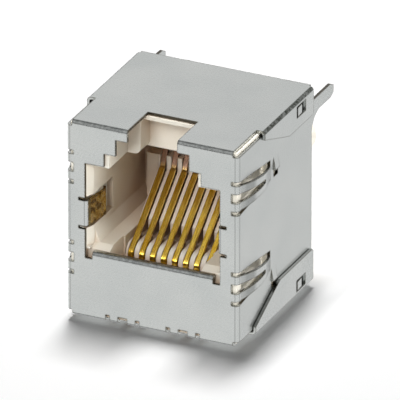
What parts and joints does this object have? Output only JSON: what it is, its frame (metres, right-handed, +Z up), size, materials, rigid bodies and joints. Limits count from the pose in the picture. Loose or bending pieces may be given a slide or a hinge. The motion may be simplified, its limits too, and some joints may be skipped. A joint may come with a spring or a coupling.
{
  "type": "rj45 board jack",
  "caption": "Shielded modular socket for vertical board mounting: folded metal shield, moulded housing, sprung gold contacts, locating pegs and solder legs.",
  "frame": {"origin": "middle of the underside of the bounding box, level with the bowed spring fingers under the bottom panel", "axes": "+Z up towards the latch side, -Y out of the plug opening, +Y towards the circuit board, X across the eight contacts"},
  "size_m": [0.017, 0.019, 0.0188],
  "materials": {
    "shield_metal": "satin nickel-plated sheet",
    "housing_plastic": "fine matt moulding",
    "carrier_plastic": "fine matt moulding",
    "contact_gold": "bright gold plating"
  },
  "bodies": {
    "root": {"shield": "shield_metal", "housing": "housing_plastic", "contact_carrier": "carrier_plastic", "contact_1": "contact_gold", "contact_2": "contact_gold", "contact_3": "contact_gold", "contact_4": "contact_gold", "contact_5": "contact_gold", "contact_6": "contact_gold", "contact_7": "contact_gold", "contact_8": "contact_gold"}
  },
  "joints": []
}
